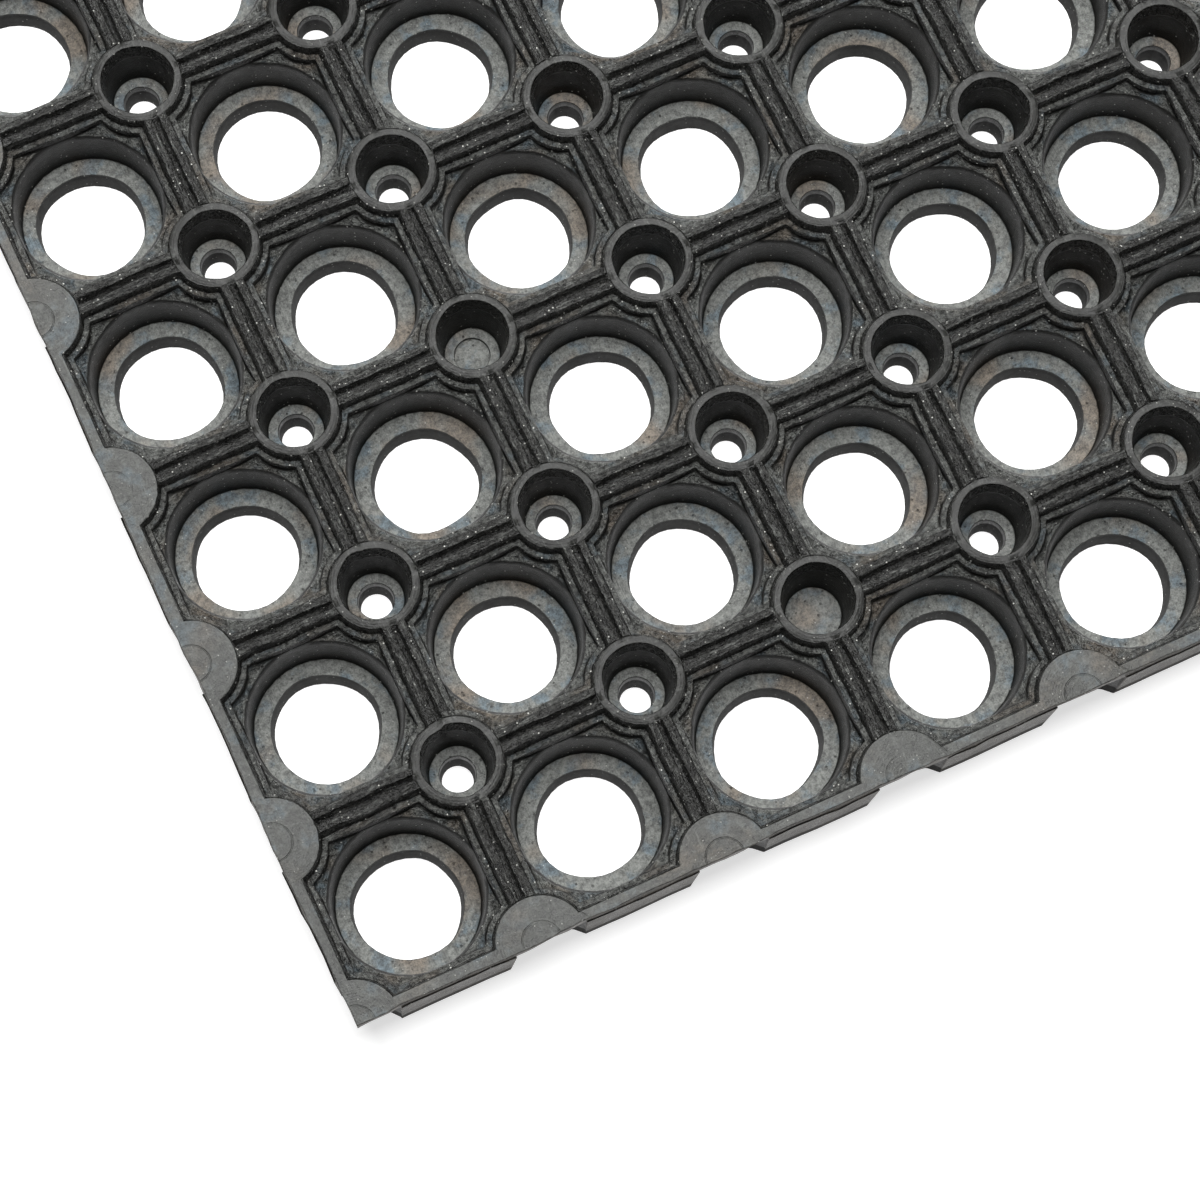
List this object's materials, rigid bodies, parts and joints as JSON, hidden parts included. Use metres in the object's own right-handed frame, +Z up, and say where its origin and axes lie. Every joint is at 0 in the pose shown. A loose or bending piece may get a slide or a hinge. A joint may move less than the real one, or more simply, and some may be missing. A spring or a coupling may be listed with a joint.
{
  "type": "perforated rubber stall mat",
  "caption": "Black moulded rubber ring mat with stepped drainage holes, small cups between them, grooved ribs and notched edges.",
  "frame": {"origin": "centre of the underside", "axes": "+X along the long side, +Y along the short side, +Z up to the tread"},
  "size_m": [0.596, 0.398, 0.024],
  "materials": {
    "rubber": "matte moulded, mottled grey on its level faces"
  },
  "bodies": {
    "root": {"ring_mat": "rubber"}
  },
  "joints": []
}
